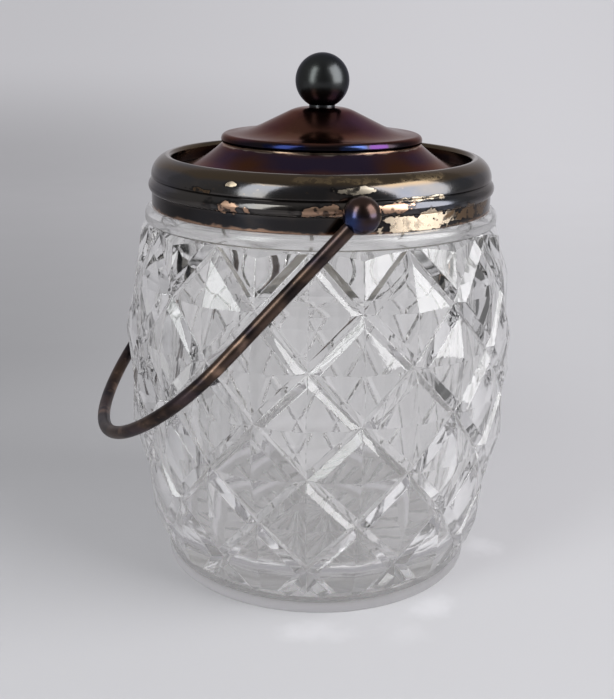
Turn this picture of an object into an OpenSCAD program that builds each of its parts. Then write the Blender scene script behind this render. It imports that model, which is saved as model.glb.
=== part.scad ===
// Cut-glass biscuit barrel with a spun silver-plated collar, a lift-off two-tier lid
// and a swinging bail handle. Millimetres, +Z up, origin on the jar's axis at the foot.
// The bail's pivots lie along Y, with the front one at -Y, and the bail hangs towards -X.

/* [Glass jar] */
// Radius of the plain band at the foot
foot_r = 54.4; // [48:0.1:58]
// Height of the plain band at the foot
foot_h = 7.5; // [5:0.1:10]
// Radius over the diamond points at the foot
cut_foot_r = 55.6; // [50:0.1:60]
// Radius over the diamond points at the belly
belly_r = 67.4; // [62:0.1:72]
// Height of the belly
belly_z = 75; // [60:0.5:85]
// Height at which the cutting ends and the smooth shoulder starts
shoulder_z = 121.5; // [110:0.5:135]
// Height of the smooth rounded shoulder
shoulder_h = 4.5; // [3.5:0.1:6]
// How far the shoulder stands out past the collar's skirt
shoulder_step = 2.3; // [1.5:0.1:3]
// How far the diamond points under the shoulder stand out past it
cut_step = 1.3; // [0.3:0.1:2.5]
// Outer radius of the neck that the collar is bedded on
neck_r = 53; // [51:0.1:55]
// Height of the neck above the shoulder
neck_h = 9.2; // [8.4:0.1:11]
// Thickness of the neck's wall
neck_wall = 5; // [4:0.1:6]
// Height over which the hollow draws in to the neck
neck_run = 22; // [10:1:30]
// Glass left between the bottom of a cut and the hollow
wall = 4.5; // [3.5:0.1:6]
// Thickness of the base
floor_t = 12; // [9:0.5:16]
// Radius of the fillet between the base and the wall inside
floor_fillet = 10; // [5:0.5:14]

/* [Cut diamonds] */
// Number of diamonds around the jar
diamonds = 12; // [10:1:16]
// Height of half a diamond
row_pitch = 17.4; // [14:0.1:21]
// How far the top row of crossings lies below the shoulder
top_row_drop = 0.7; // [0.5:0.1:4]
// Turn of the cutting from the front pivot
cut_turn = 1.7; // [-15:0.1:15]
// Width of a cut between two diamonds
cut_w = 5.3; // [3.5:0.1:7]
// Depth of a cut below the edges of the diamonds
cut_d = 1.9; // [1.2:0.1:2.6]
// Height of a diamond's point above its edges
point_h = 1.6; // [0.8:0.1:2.2]
// Depth of the groove that separates the cutting from the shoulder
shoulder_groove = 2; // [1:0.1:3]

/* [Star-cut base] */
// Number of rays of the star under the base
star_rays = 24; // [16:2:32]
// Radius at which the rays start
star_start = 3; // [2:0.5:8]
// Radius at which the rays end
star_r = 40; // [30:1:42]
// Angle between the two sides of a ray
star_angle = 110; // [100:5:130]
// Share of the room between its neighbours that a ray takes up
star_fill = 0.92; // [0.5:0.02:0.96]
// Width of the flat ring that the jar stands on
foot_ring_w = 8; // [6:0.5:10]
// Depth of the recess inside the foot ring
foot_recess = 1; // [0.5:0.1:2]

/* [Collar] */
// Thickness of the spun sheet of the collar and the lid
sheet = 0.9; // [0.7:0.05:1.2]
// Thickness of the plaster bed between the neck and the skirt
bed_t = 3; // [2.6:0.1:4]
// Height of the skirt below the bead
skirt_h = 5; // [4:0.1:6]
// Height of the bead around the collar
bead_h = 4; // [3.6:0.1:5]
// How far the bead stands out from the skirt
bead_rise = 1; // [0.8:0.05:1.6]
// Height of the fine groove above the bead
groove_h = 1; // [0.6:0.1:1.4]
// Depth of that groove
groove_d = 0.4; // [0.2:0.05:0.5]
// Radius of the collar's domed upper part
dome_r = 6.9; // [6.4:0.1:8]
// Radius of the rolled lip
lip_roll_r = 1.45; // [1.2:0.05:1.7]
// How far the mouth inside the lip lies in from the neck's outer face
mouth_set = 3; // [2.4:0.1:3.8]
// How far the ledge that carries the lid reaches into the neck's bore
ledge_lap = 1.4; // [1.2:0.1:4]
// Depth of the turned-down edge inside the neck
ledge_drop = 3; // [2:0.1:5]
// Film of plaster between the neck's rim and the ledge
bed_film = 0.3; // [0.2:0.05:0.5]

/* [Lid] */
// Gap between the lid's edge and the mouth
lid_gap = 0.5; // [0.3:0.05:0.8]
// Gap between the lid and the ledge that it rests on
lid_seat_gap = 0.1; // [0.05:0.01:0.3]
// Width of the flat edge of the lid
lid_edge_w = 1.5; // [1:0.1:3]
// Slope of the lower tier where it rises from the edge
flare_slope = 18; // [10:0.5:24]
// Radius of the waist under the upper tier
waist_r = 33; // [30:0.1:35]
// Height of the waist above the lid's edge
waist_h = 9; // [8:0.1:11]
// How far the upper tier's rim stands out from the waist
rim_out = 0.5; // [0.3:0.05:1]
// Radius of the upper tier's rounded rim
rim_r = 1.8; // [1.4:0.1:2]
// Radius where the crown's straight slope starts
slope_r = 20; // [17:0.1:22]
// Angle of the crown's straight slope
slope_angle = 26; // [20:0.5:30]
// Radius where the crown's straight slope ends
crown_r = 11; // [9.5:0.1:13]
// Radius of the flat that the finial stands on
seat_r = 5; // [4.6:0.1:6]
// Height of the locating ring under the lid
ring_h = 6.5; // [5:0.1:9]
// Film of solder between the locating ring and the lid
solder = 0.02; // [0.01:0.01:0.05]
// Gap between the locating ring and the ledge's opening
ring_gap = 0.6; // [0.3:0.05:1]

/* [Finial] */
// Radius of the finial's ball
finial_r = 8.9; // [7:0.1:11]
// Radius of the finial's neck
finial_neck_r = 4.3; // [3.6:0.1:4.6]
// Height of the finial's neck below the ball
finial_neck_h = 0.7; // [0.4:0.1:2]
// Radius of the stud that holds the finial
finial_stud_r = 2; // [1.5:0.1:2.5]
// Depth of the stud in the ball
finial_stud_depth = 5; // [3:0.1:7]
// Height of the nut
nut_h = 3; // [2:0.1:4]
// Width of the nut across its flats
nut_w = 7; // [6:0.1:8]
// Radius of the washer
washer_r = 5; // [4.2:0.1:5.4]
// Thickness of the washer
washer_t = 0.8; // [0.5:0.05:1.2]
// Length of the stud that shows past the nut
stud_end = 1.5; // [0.5:0.1:3]
// Gap around the stud in the lid and the ball
stud_gap = 0.1; // [0.05:0.01:0.2]

/* [Bail] */
// Radius of the bail's rod
rod_r = 2.1; // [1.7:0.05:2.5]
// Distance from the pivots to the middle of the bail
reach = 110.5; // [100:0.5:125]
// Length of the straight arms
arm_len = 55.6; // [45:0.5:60]
// Radius of the bends at the ends of the arms
bend_r = 45; // [38:0.5:48]
// Angle at which the bail hangs below level
rest_angle = 46.5; // [40:0.5:50]
// Radius of the balls at the bail's ends
ball_r = 5.5; // [5:0.1:6.5]
// Gap between a ball and the collar's bead
ball_gap = 0.4; // [0.3:0.05:0.8]
// Least gap between an arm of the bail and the glass beside it
arm_gap = 1; // [0.6:0.1:2]
// Distance from a ball's centre to the bottom of the rod's socket
socket_floor = 2.6; // [2.3:0.1:3]
// Gap around and behind the rod in its socket
braze_gap = 0.1; // [0.06:0.01:0.15]
// Radius of the studs that the bail turns on
pivot_r = 1.5; // [1.2:0.05:1.7]
// Radial running clearance between a stud and its ball
pivot_clear = 0.05; // [0.02:0.01:0.1]
// How far a stud reaches past the ball's centre
pivot_end = 1.4; // [1:0.1:2]
// Gap between a stud's end and the bottom of its bore
bore_gap = 0.6; // [0.3:0.1:1]
// Radius of the burr washer inside the collar
burr_r = 2.7; // [2.3:0.1:3]
// Thickness of the burr washer
burr_t = 0.9; // [0.6:0.05:1]
// Radius of a stud's riveted head
rivet_r = 2.2; // [1.9:0.1:2.3]
// Thickness of a stud's riveted head
rivet_t = 0.8; // [0.5:0.05:0.9]
// Gap between the burr and the curved skirt
burr_gap = 0.1; // [0.08:0.01:0.2]

/* [Hidden] */
$fn = 96;
FRONT = -1;
REAR = 1;
// Overrun of a cutter past the face that it opens
over = 1;

// Heights and radii of the jar
shoulder_top = shoulder_z + shoulder_h;
neck_top = shoulder_top + neck_h;
neck_in_r = neck_r - neck_wall;
skirt_r = neck_r + bed_t + sheet;
skirt_in_r = skirt_r - sheet;
shoulder_r = skirt_r + shoulder_step;
cut_top_r = shoulder_r + cut_step;
relief = point_h + cut_d;
hollow_set = relief + wall;
// Steps at which the bail's room is measured on the barrel, and steps of the hollow's curve
wall_steps = 14;
hollow_steps = 24;

// Star: half-width of a ray for each millimetre of its depth
star_flare = tan(star_angle / 2);
// Slope of a ray's bottom, at which the ray takes up its share of the room at any radius
star_slope = atan(star_fill * tan(180 / star_rays) / star_flare);
// Depth and half-width of the wedge that cuts a ray, which reaches out of the glass
star_d = star_r * tan(star_slope) + over;
star_half = star_d * star_flare;

// Lattice of the cut diamonds
cols = 2 * diamonds;
col_angle = 360 / cols;
top_row_z = shoulder_z - top_row_drop;
last_row = ceil(top_row_z / row_pitch) + 1;
pad_share = 1 - cut_w / (sqrt(2) * row_pitch);

// Heights and radii of the collar
collar_z = shoulder_top;
bead_z = collar_z + skirt_h + bead_h / 2;
bead_top = collar_z + skirt_h + bead_h;
bead_r = skirt_r + bead_rise;
bead_arc = (pow(bead_h / 2, 2) + pow(bead_rise, 2)) / (2 * bead_rise);
dome_z = bead_top + groove_h;
dome_axis = skirt_r - dome_r;
mouth_r = neck_r - mouth_set;
ledge_r = neck_in_r - ledge_lap;
lip_angle = acos((mouth_r + lip_roll_r - dome_axis) / (dome_r - lip_roll_r));
lip_z = dome_z + (dome_r - lip_roll_r) * sin(lip_angle);
ledge_z = neck_top + bed_film + sheet;
dome_in_end = acos((mouth_r + sheet - dome_axis) / (dome_r - sheet));

// Heights and radii of the lid
lid_z = ledge_z + lid_seat_gap + sheet;
lid_r = mouth_r - lid_gap;
flare_r = lid_r - lid_edge_w;
flare_end = 2 * atan2(waist_h, flare_r - waist_r) - flare_slope;
flare_arc = norm([flare_r - waist_r, waist_h]) / (2 * sin((flare_end - flare_slope) / 2));
flare_c = [flare_r, lid_z] + flare_arc * [sin(flare_slope), cos(flare_slope)];
rim_axis = waist_r + rim_out - rim_r;
rim_start = acos(1 - rim_out / rim_r);
rim_z = lid_z + waist_h + rim_r * sin(rim_start);
rim_top = rim_z + rim_r;
hollow_arc = (rim_axis - slope_r) / sin(slope_angle);
slope_z = rim_top + hollow_arc * (1 - cos(slope_angle));
crown_z = slope_z + (slope_r - crown_r) * tan(slope_angle);
crown_arc = (crown_r - seat_r) / sin(slope_angle);
seat_z = crown_z + crown_arc * (1 - cos(slope_angle));
ring_r = ledge_r - ring_gap;
ring_in_r = ring_r - sheet;

// Heights of the finial
finial_z = seat_z + finial_neck_h + sqrt(pow(finial_r, 2) - pow(finial_neck_r, 2));
stud_top = finial_z - finial_r + finial_stud_depth;
nut_z = seat_z - sheet - washer_t - nut_h;

// Places of the bail: its arms pass both the bead and the glass
pivot_z = bead_z;
pivot_y = max(concat(
    [bead_r + ball_gap + ball_r],
    [for (k = [0:wall_steps]) arm_pass(belly_z + (shoulder_z - belly_z) * k / wall_steps)]
));
bend_y = pivot_y - bend_r;
bow_depth = reach - arm_len;
bow_r = (pow(bow_depth, 2) + pow(bend_y, 2) - pow(bend_r, 2)) / (2 * (bow_depth - bend_r));
bow_half = atan2(bend_y, arm_len - reach + bow_r);
burr_y = skirt_in_r - burr_gap - burr_t;
rod_start = socket_floor + braze_gap;
rod_sides = 24;
bend_steps = 8;
bow_steps = 22;

// Points on an arc about c from angle a0 to a1
function arc(c, r, a0, a1, steps = 8) =
    [for (k = [0:steps]) let (a = a0 + (a1 - a0) * k / steps) c + r * [cos(a), sin(a)]];

// Radius over the diamond points at height z
function cut_r(z) =
    let (h = min(max(z, 0), shoulder_z), up = (h - belly_z) / (shoulder_z - belly_z))
    h < belly_z
        ? cut_foot_r + (belly_r - cut_foot_r) * sin(90 * h / belly_z)
        : belly_r - (belly_r - cut_top_r) * up * up;

// Distance from the middle at which an arm of the bail at rest passes the glass at height z
function arm_pass(z) =
    let (along = (pivot_z - z) / tan(rest_angle), out = cut_r(z) + arm_gap + rod_r)
    sqrt(max(0, out * out - along * along));

// A point of the lattice: column i, row k counted down from the shoulder, set in by d
function lattice_point(i, k, d) =
    let (z = top_row_z - k * row_pitch, r = cut_r(z) - d, a = i * col_angle)
    [r * sin(a), -r * cos(a), z];

// Diamond points and crossings alternate over the lattice, like the squares of a chessboard
function is_point(i, k) = (i + k) % 2 == 0;
function site(i, k) = (k + 1) * cols + (i + cols) % cols;

// The four neighbours of a diamond's point, anticlockwise from the right
SIDES = [[1, 0], [0, -1], [-1, 0], [0, 1]];

// Jar: the cut body is a skin of flat facets, each diamond a low pyramid of four facets
// whose edges fall away into the V-shaped cuts
module cut_lattice() {
    sites = [
        for (k = [-1:last_row + 1]) for (i = [0:cols - 1])
            lattice_point(i, k, is_point(i, k + 2) ? 0 : relief)
    ];
    pads = [
        for (k = [0:last_row]) for (m = [0:diamonds - 1]) for (s = SIDES)
            lattice_point(2 * m + k % 2 + s[0] * pad_share, k + s[1] * pad_share, point_h)
    ];
    ends = [[0, 0, top_row_z], [0, 0, top_row_z - last_row * row_pitch]];
    first_pad = len(sites);
    top_end = first_pad + len(pads);
    facets = [
        for (k = [0:last_row]) for (m = [0:diamonds - 1]) for (j = [0:3])
            let (
                i = 2 * m + k % 2,
                n = (j + 1) % 4,
                pad = first_pad + 4 * (k * diamonds + m),
                cross_j = site(i + SIDES[j][0], k + SIDES[j][1]),
                cross_n = site(i + SIDES[n][0], k + SIDES[n][1])
            )
            each [
                [site(i, k), pad + n, pad + j],
                [pad + j, pad + n, cross_n],
                [pad + j, cross_n, cross_j]
            ]
    ];
    caps = [
        for (i = [0:cols - 1])
            let (
                t0 = site(i, is_point(i, 0) ? -1 : 0),
                t1 = site(i + 1, is_point(i + 1, 0) ? -1 : 0),
                b0 = site(i, is_point(i, last_row) ? last_row + 1 : last_row),
                b1 = site(i + 1, is_point(i + 1, last_row) ? last_row + 1 : last_row)
            )
            each [[top_end, t1, t0], [top_end + 1, b0, b1]]
    ];
    polyhedron(concat(sites, pads, ends), concat(facets, caps), convexity = 6);
}

// Section inside which the cutting is left: it runs out on the foot and under the shoulder
module cut_limits() {
    out_r = belly_r + over;
    groove_r = cut_top_r - shoulder_groove;
    polygon([
        [0, foot_h],
        [foot_r, foot_h],
        [out_r, foot_h + (out_r - foot_r) / 2],
        [out_r, shoulder_z - (out_r - groove_r)],
        [groove_r, shoulder_z],
        [0, shoulder_z]
    ]);
}

// Section of the plain foot, with eased edges
module foot_section() {
    ease = foot_recess;
    polygon(concat(
        [[0, 0]],
        arc([foot_r - ease, ease], ease, -90, 0, 4),
        [[foot_r, foot_h], [0, foot_h]]
    ));
}

// Section of the smooth shoulder, with an eased lower edge, and of the neck above it
module shoulder_section() {
    edge_ease = shoulder_h / 6;
    round_r = shoulder_h / 2;
    rim_ease = neck_wall / 4;
    polygon(concat(
        [[0, shoulder_z]],
        arc([shoulder_r - edge_ease, shoulder_z + edge_ease], edge_ease, -90, 0, 4),
        arc([shoulder_r - round_r, shoulder_top - round_r], round_r, 0, 90),
        [[neck_r, shoulder_top]],
        arc([neck_r - rim_ease, neck_top - rim_ease], rim_ease, 0, 90, 4),
        [[0, neck_top]]
    ));
}

// Radius of the hollow at height z: an even depth behind the cuts, drawn in to the neck at the top
function hollow_r(z) =
    let (t = max(1 - (shoulder_top - z) / neck_run, 0), share = t * t * (3 - 2 * t))
    (cut_r(z) - hollow_set) * (1 - share) + neck_in_r * share;

// Section of the hollow
module hollow_section() {
    low_z = floor_t + floor_fillet;
    low_r = hollow_r(low_z);
    polygon(concat(
        [[0, floor_t]],
        arc([low_r - floor_fillet, low_z], floor_fillet, -90, 0, 6),
        [for (k = [1:hollow_steps])
            let (z = low_z + (shoulder_top - low_z) * k / hollow_steps) [hollow_r(z), z]],
        [[neck_in_r, neck_top + over], [0, neck_top + over]]
    ));
}

// Star under the base: each ray is a V cut that widens and deepens from the middle outwards
module star_cuts() {
    for (k = [0:star_rays - 1])
        rotate(k * 360 / star_rays)
            translate([0, 0, foot_recess])
                rotate([0, -star_slope, 0])
                    translate([star_start, 0, 0])
                        rotate([90, 0, 90])
                            linear_extrude(height = star_r - star_start)
                                polygon([[0, 0], [-star_half, -star_d], [star_half, -star_d]]);
}

module glass_jar() {
    color("lightcyan", 0.5)
        difference() {
            union() {
                intersection() {
                    rotate(cut_turn) cut_lattice();
                    rotate_extrude() cut_limits();
                }
                rotate_extrude() foot_section();
                rotate_extrude() shoulder_section();
            }
            rotate_extrude() hollow_section();
            translate([0, 0, -over]) cylinder(r = foot_r - foot_ring_w, h = over + foot_recess);
            star_cuts();
        }
}

// Plaster that beds the collar on the neck, with a pocket behind each pivot
module plaster_bed() {
    color("ivory")
        difference() {
            translate([0, 0, shoulder_top])
                cylinder(r = skirt_in_r, h = neck_h);
            translate([0, 0, shoulder_top - over])
                cylinder(r = neck_r, h = neck_h + 2 * over);
            for (side = [FRONT, REAR])
                at_pivot(side) cylinder(r = burr_r + burr_gap, h = skirt_r);
        }
}

// Places a shape at a pivot's height, with its Z axis pointing out along the pivot
module at_pivot(side) {
    translate([0, 0, pivot_z]) rotate([-side * 90, 0, 0]) children();
}

// Sheet of the collar in section: skirt, groove, dome and rolled lip outside, then down to
// the ledge that carries the lid and back along the inside
module collar_sheet() {
    dome_c = [dome_axis, dome_z];
    lip_c = [mouth_r + lip_roll_r, lip_z];
    groove_mid = dome_z - groove_h / 2;
    ledge_under = ledge_z - sheet;
    polygon(concat(
        [[skirt_r, collar_z], [skirt_r, bead_top], [skirt_r - groove_d, groove_mid]],
        arc(dome_c, dome_r, 0, lip_angle, 10),
        arc(lip_c, lip_roll_r, lip_angle, 180),
        [
            [mouth_r, ledge_z],
            [ledge_r, ledge_z],
            [ledge_r, ledge_under - ledge_drop],
            [ledge_r + sheet, ledge_under - ledge_drop],
            [ledge_r + sheet, ledge_under],
            [mouth_r + sheet, ledge_under]
        ],
        arc(dome_c, dome_r - sheet, dome_in_end, 0, 10),
        [[skirt_in_r, collar_z]]
    ));
}

// The sheet with the bead pressed out of its skirt
module collar_section() {
    bead_c = [bead_r - bead_arc, bead_z];
    difference() {
        union() {
            collar_sheet();
            intersection() {
                translate(bead_c) circle(r = bead_arc);
                translate([skirt_in_r, collar_z]) square([bead_r, bead_top - collar_z]);
            }
        }
        translate(bead_c) circle(r = bead_arc - sheet);
    }
}

module collar() {
    color("dimgray")
        difference() {
            rotate_extrude() collar_section();
            for (side = [FRONT, REAR])
                at_pivot(side)
                    translate([0, 0, neck_r]) cylinder(r = pivot_r, h = bead_r);
        }
}

// Stud that a ball of the bail turns on: it passes through the bead and is riveted inside
module pivot_stud(side) {
    color("darkgoldenrod")
        at_pivot(side)
            translate([0, 0, burr_y - rivet_t]) {
                cylinder(r = rivet_r, h = rivet_t);
                cylinder(r = pivot_r, h = pivot_y + pivot_end - burr_y + rivet_t);
            }
}

module stud_burr(side) {
    color("goldenrod")
        at_pivot(side)
            translate([0, 0, burr_y])
                difference() {
                    cylinder(r = burr_r, h = burr_t);
                    translate([0, 0, -over]) cylinder(r = pivot_r, h = burr_t + 2 * over);
                }
}

// Outline of the lid's upper side, or of its underside when set in by the sheet; the rim
// starts where the flare ends
function lid_outline(set) = concat(
    [[lid_r, lid_z - set]],
    arc(flare_c, flare_arc + set, -90 - flare_slope, -90 - flare_end),
    tail(arc([rim_axis, rim_z], rim_r - set, -rim_start, 90)),
    arc([rim_axis, rim_top + hollow_arc], hollow_arc + set, -90, -90 - slope_angle, 6),
    arc([seat_r, seat_z - crown_arc], crown_arc - set, 90 - slope_angle, 90, 6)
);

function reversed(list) = [for (k = [len(list) - 1:-1:0]) list[k]];
function tail(list) = [for (k = [1:len(list) - 1]) list[k]];

// Height of the underside of the lid's flare at radius r
function flare_under(r) = flare_c[1] - sqrt(pow(flare_arc + sheet, 2) - pow(flare_c[0] - r, 2));

module lid_shell() {
    hole_r = finial_stud_r + stud_gap;
    color("dimgray")
        rotate_extrude()
            polygon(concat(
                lid_outline(0),
                [[hole_r, seat_z], [hole_r, seat_z - sheet]],
                reversed(lid_outline(sheet))
            ));
}

// Ring soldered under the lid, which keeps it central in the ledge
module lid_ring() {
    ring_z = flare_under(ring_r) - ring_h;
    color("silver")
        rotate_extrude()
            polygon([
                [ring_in_r, ring_z],
                [ring_r, ring_z],
                [ring_r, flare_under(ring_r) - solder],
                [ring_in_r, flare_under(ring_in_r) - solder]
            ]);
}

// Ball finial with its short neck and a blind hole for the stud
module finial_ball() {
    hole_h = stud_top - seat_z + stud_gap;
    color("black")
        difference() {
            union() {
                translate([0, 0, finial_z]) sphere(r = finial_r);
                translate([0, 0, seat_z]) cylinder(r = finial_neck_r, h = finial_z - seat_z);
            }
            translate([0, 0, seat_z - over])
                cylinder(r = finial_stud_r + stud_gap, h = hole_h + over);
        }
}

module finial_stud() {
    color("darkgoldenrod")
        translate([0, 0, nut_z - stud_end])
            cylinder(r = finial_stud_r, h = stud_top - nut_z + stud_end);
}

module finial_washer() {
    color("goldenrod")
        translate([0, 0, nut_z + nut_h])
            difference() {
                cylinder(r = washer_r, h = washer_t);
                translate([0, 0, -over])
                    cylinder(r = finial_stud_r + stud_gap, h = washer_t + 2 * over);
            }
}

module finial_nut() {
    color("goldenrod")
        translate([0, 0, nut_z])
            difference() {
                cylinder(r = nut_w / sqrt(3), h = nut_h, $fn = 6);
                translate([0, 0, -over])
                    cylinder(r = finial_stud_r, h = nut_h + 2 * over);
            }
}

// Turns a shape drawn in the bail's own plane, with X away from the pivots, to its rest pose
module at_rest() {
    translate([0, 0, pivot_z]) rotate([0, 180 - rest_angle, 0]) children();
}

// Stations along an arc of the rod's centre line, each a place and a heading
function bend_stations(c, r, a0, a1, steps) = [
    for (k = [1:steps])
        let (a = a0 + (a1 - a0) * k / steps)
        [c[0] + r * cos(a), c[1] + r * sin(a), a + 90]
];

// Centre line of the rod in the bail's plane: an arm, a bend, the bow, a bend and an arm
function rod_stations() = concat(
    [[rod_start, -pivot_y, 0], [arm_len, -pivot_y, 0]],
    bend_stations([arm_len, -bend_y], bend_r, -90, -bow_half, bend_steps),
    bend_stations([reach - bow_r, 0], bow_r, -bow_half, bow_half, bow_steps),
    bend_stations([arm_len, bend_y], bend_r, bow_half, 90, bend_steps),
    [[rod_start, pivot_y, 180]]
);

// Round section of the rod at a station
function rod_ring(st) = [
    for (j = [0:rod_sides - 1])
        let (t = 360 * j / rod_sides, out = rod_r * cos(t))
        [st[0] - out * sin(st[2]), st[1] + out * cos(st[2]), rod_r * sin(t)]
];

// Rod bent to a U with a flatter bow, swept as one solid
module bail_rod() {
    stations = rod_stations();
    last = len(stations) - 1;
    rings = [for (st = stations) each rod_ring(st)];
    skin = [
        for (k = [0:last - 1]) for (j = [0:rod_sides - 1])
            let (
                a = k * rod_sides + j,
                b = k * rod_sides + (j + 1) % rod_sides
            )
            each [[b, a, a + rod_sides], [b, a + rod_sides, b + rod_sides]]
    ];
    ends = [
        [for (j = [0:rod_sides - 1]) j],
        [for (j = [rod_sides - 1:-1:0]) last * rod_sides + j]
    ];
    color("dimgray")
        at_rest() polyhedron(rings, concat(skin, ends), convexity = 6);
}

// Ball at an end of the bail, with a blind bore for its stud and a socket for the rod; the
// sphere is turned so that its seam is on the plain side
module bail_ball(side) {
    bore_depth = pivot_end + bore_gap;
    color("dimgray")
        at_rest()
            translate([0, side * pivot_y, 0])
                difference() {
                    rotate(180) sphere(r = ball_r);
                    rotate([side * 90, 0, 0])
                        translate([0, 0, -bore_depth])
                            cylinder(r = pivot_r + pivot_clear, h = bore_depth + ball_r + over);
                    translate([socket_floor, 0, 0])
                        rotate([0, 90, 0]) cylinder(r = rod_r + braze_gap, h = ball_r);
                }
}

glass_jar();
plaster_bed();
collar();
pivot_stud(FRONT);  // pivot_stud_front
pivot_stud(REAR);  // pivot_stud_rear
stud_burr(FRONT);  // stud_burr_front
stud_burr(REAR);  // stud_burr_rear
lid_shell();
lid_ring();
finial_ball();
finial_stud();
finial_washer();
finial_nut();
bail_rod();
bail_ball(FRONT);  // bail_ball_front
bail_ball(REAR);  // bail_ball_rear
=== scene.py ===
"""Dress the cut-glass biscuit barrel: its glass, plated collar, lid and bail, on a pale studio sweep.

Sizes are in millimetres and angles in degrees, apart from the sweep and the lamps, which are in metres.
"""

import logging
import math
import random
from collections.abc import Callable, Sequence
from dataclasses import dataclass, field
from enum import Enum

import bmesh
import bpy
from mathutils import Matrix, Vector, noise


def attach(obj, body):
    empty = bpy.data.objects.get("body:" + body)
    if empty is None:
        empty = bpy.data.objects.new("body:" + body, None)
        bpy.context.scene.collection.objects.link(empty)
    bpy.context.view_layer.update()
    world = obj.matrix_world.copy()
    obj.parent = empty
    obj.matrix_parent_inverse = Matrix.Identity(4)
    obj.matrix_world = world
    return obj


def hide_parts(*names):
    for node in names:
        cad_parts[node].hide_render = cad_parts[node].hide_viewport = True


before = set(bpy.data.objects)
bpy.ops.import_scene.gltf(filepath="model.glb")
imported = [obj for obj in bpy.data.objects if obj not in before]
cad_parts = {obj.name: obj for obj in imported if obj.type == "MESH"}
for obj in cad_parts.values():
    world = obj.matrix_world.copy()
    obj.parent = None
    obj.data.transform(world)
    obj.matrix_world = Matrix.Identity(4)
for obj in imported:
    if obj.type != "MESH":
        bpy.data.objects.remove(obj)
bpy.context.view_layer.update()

log = logging.getLogger("barrel")

# Metres in a millimetre
MM = 0.001
# Depth of the fine relief of a finish
RELIEF = 0.1 * MM
# How far a carving tool reaches past the glass
LAP = 1.0
# Turn above which an edge stays sharp, where a piece has no angle of its own
SHARP = 30.0

Point2 = tuple[float, float]
Point3 = tuple[float, float, float]
Colour = tuple[float, float, float]
Socket = bpy.types.NodeSocket
Value = float | Sequence[float] | Socket


class Carve(Enum):
    """How one solid works on another."""

    ADD = "UNION"
    KEEP = "INTERSECT"
    CUT = "DIFFERENCE"


def arc(centre: Point2, radius: float, start: float, end: float, steps: int = 24) -> list[Point2]:
    """Points along an arc.

    Args:
        centre: Middle of the arc.
        radius: Radius of the arc.
        start: Angle of the first point, in degrees.
        end: Angle of the last point, in degrees.
        steps: Number of chords.

    Returns:
        The points in order, both ends included.
    """
    angles = (math.radians(start + (end - start) * k / steps) for k in range(steps + 1))
    return [(centre[0] + radius * math.cos(a), centre[1] + radius * math.sin(a)) for a in angles]


def place(name: str, mesh: bpy.types.Mesh) -> bpy.types.Object:
    """Put a mesh into the scene as an object.

    Args:
        name: Name of the new object.
        mesh: Its mesh.

    Returns:
        The new object.
    """
    piece = bpy.data.objects.new(name, mesh)
    bpy.context.scene.collection.objects.link(piece)
    return piece


def build_mesh(name: str, points: Sequence[Point3], faces: Sequence[Sequence[int]]) -> bpy.types.Mesh:
    """Make a mesh in metres from points in millimetres, with its faces turned outwards.

    Args:
        name: Name of the mesh.
        points: Corners in millimetres.
        faces: Corner numbers of each face.

    Returns:
        The new mesh.
    """
    mesh = bpy.data.meshes.new(name)
    mesh.from_pydata([Vector(p) * MM for p in points], [], faces)
    shape = bmesh.new()
    shape.from_mesh(mesh)
    bmesh.ops.recalc_face_normals(shape, faces=shape.faces)
    shape.to_mesh(mesh)
    shape.free()
    return mesh


def smooth(mesh: bpy.types.Mesh, sharp: float) -> None:
    """Shade a mesh smooth, apart from edges that turn by more than an angle.

    Args:
        mesh: Mesh to shade.
        sharp: Angle in degrees above which an edge stays sharp.
    """
    mesh.shade_smooth()
    mesh.set_sharp_from_angle(angle=math.radians(sharp))


def lathe(name: str, outline: Sequence[Point2], sides: int = 256, sharp: float = SHARP) -> bpy.types.Object:
    """Turn a closed outline about the Z axis.

    Args:
        name: Name of the new object.
        outline: Radius and height of each corner, in millimetres.
        sides: Number of steps around.
        sharp: Angle in degrees above which an edge stays sharp.

    Returns:
        The turned solid.
    """
    points: list[Point3] = []
    rings: list[list[int]] = []
    for radius, height in outline:
        count = sides if radius > 0 else 1
        rings.append([len(points) + (k if count > 1 else 0) for k in range(sides)])
        turns = (2 * math.pi * k / sides for k in range(count))
        points.extend((radius * math.cos(a), radius * math.sin(a), height) for a in turns)
    faces = []
    for low, high in zip(rings, rings[1:] + rings[:1]):
        for k in range(sides):
            n = (k + 1) % sides
            corners = list(dict.fromkeys((low[k], low[n], high[n], high[k])))
            if len(corners) > 2:
                faces.append(corners)
    mesh = build_mesh(name, points, faces)
    smooth(mesh, sharp)
    return place(name, mesh)


def carve(solid: bpy.types.Object, tool: bpy.types.Object, how: Carve) -> None:
    """Work on a solid with another one, which is used up.

    Args:
        solid: Solid that is changed.
        tool: Solid that changes it.
        how: Whether the tool is added, cut away or limits the solid.
    """
    step = solid.modifiers.new("carve", "BOOLEAN")
    step.operation = how.value
    step.object = tool
    step.solver = "EXACT"
    bpy.context.view_layer.update()
    graph = bpy.context.evaluated_depsgraph_get()
    made = bpy.data.meshes.new_from_object(solid.evaluated_get(graph))
    solid.modifiers.remove(step)
    old, solid.data = solid.data, made
    made.name = solid.name
    bpy.data.meshes.remove(old)
    bpy.data.objects.remove(tool)


def shift(piece: bpy.types.Object, move: Callable[[Vector], Vector]) -> None:
    """Move each corner of a piece.

    Args:
        piece: Piece to change.
        move: Gives a corner's new place from its old one, in metres.
    """
    for corner in piece.data.vertices:
        corner.co = move(corner.co.copy())
    piece.data.update()


def around(azimuth: float, radius: float, height: float) -> Vector:
    """A place on a circle about the jar's axis.

    Args:
        azimuth: Angle from the front pivot, in degrees, positive towards +X.
        radius: Distance from the axis, in millimetres.
        height: Height in millimetres.

    Returns:
        The place in metres.
    """
    turn = math.radians(azimuth)
    return Vector((radius * math.sin(turn), -radius * math.cos(turn), height)) * MM


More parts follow.
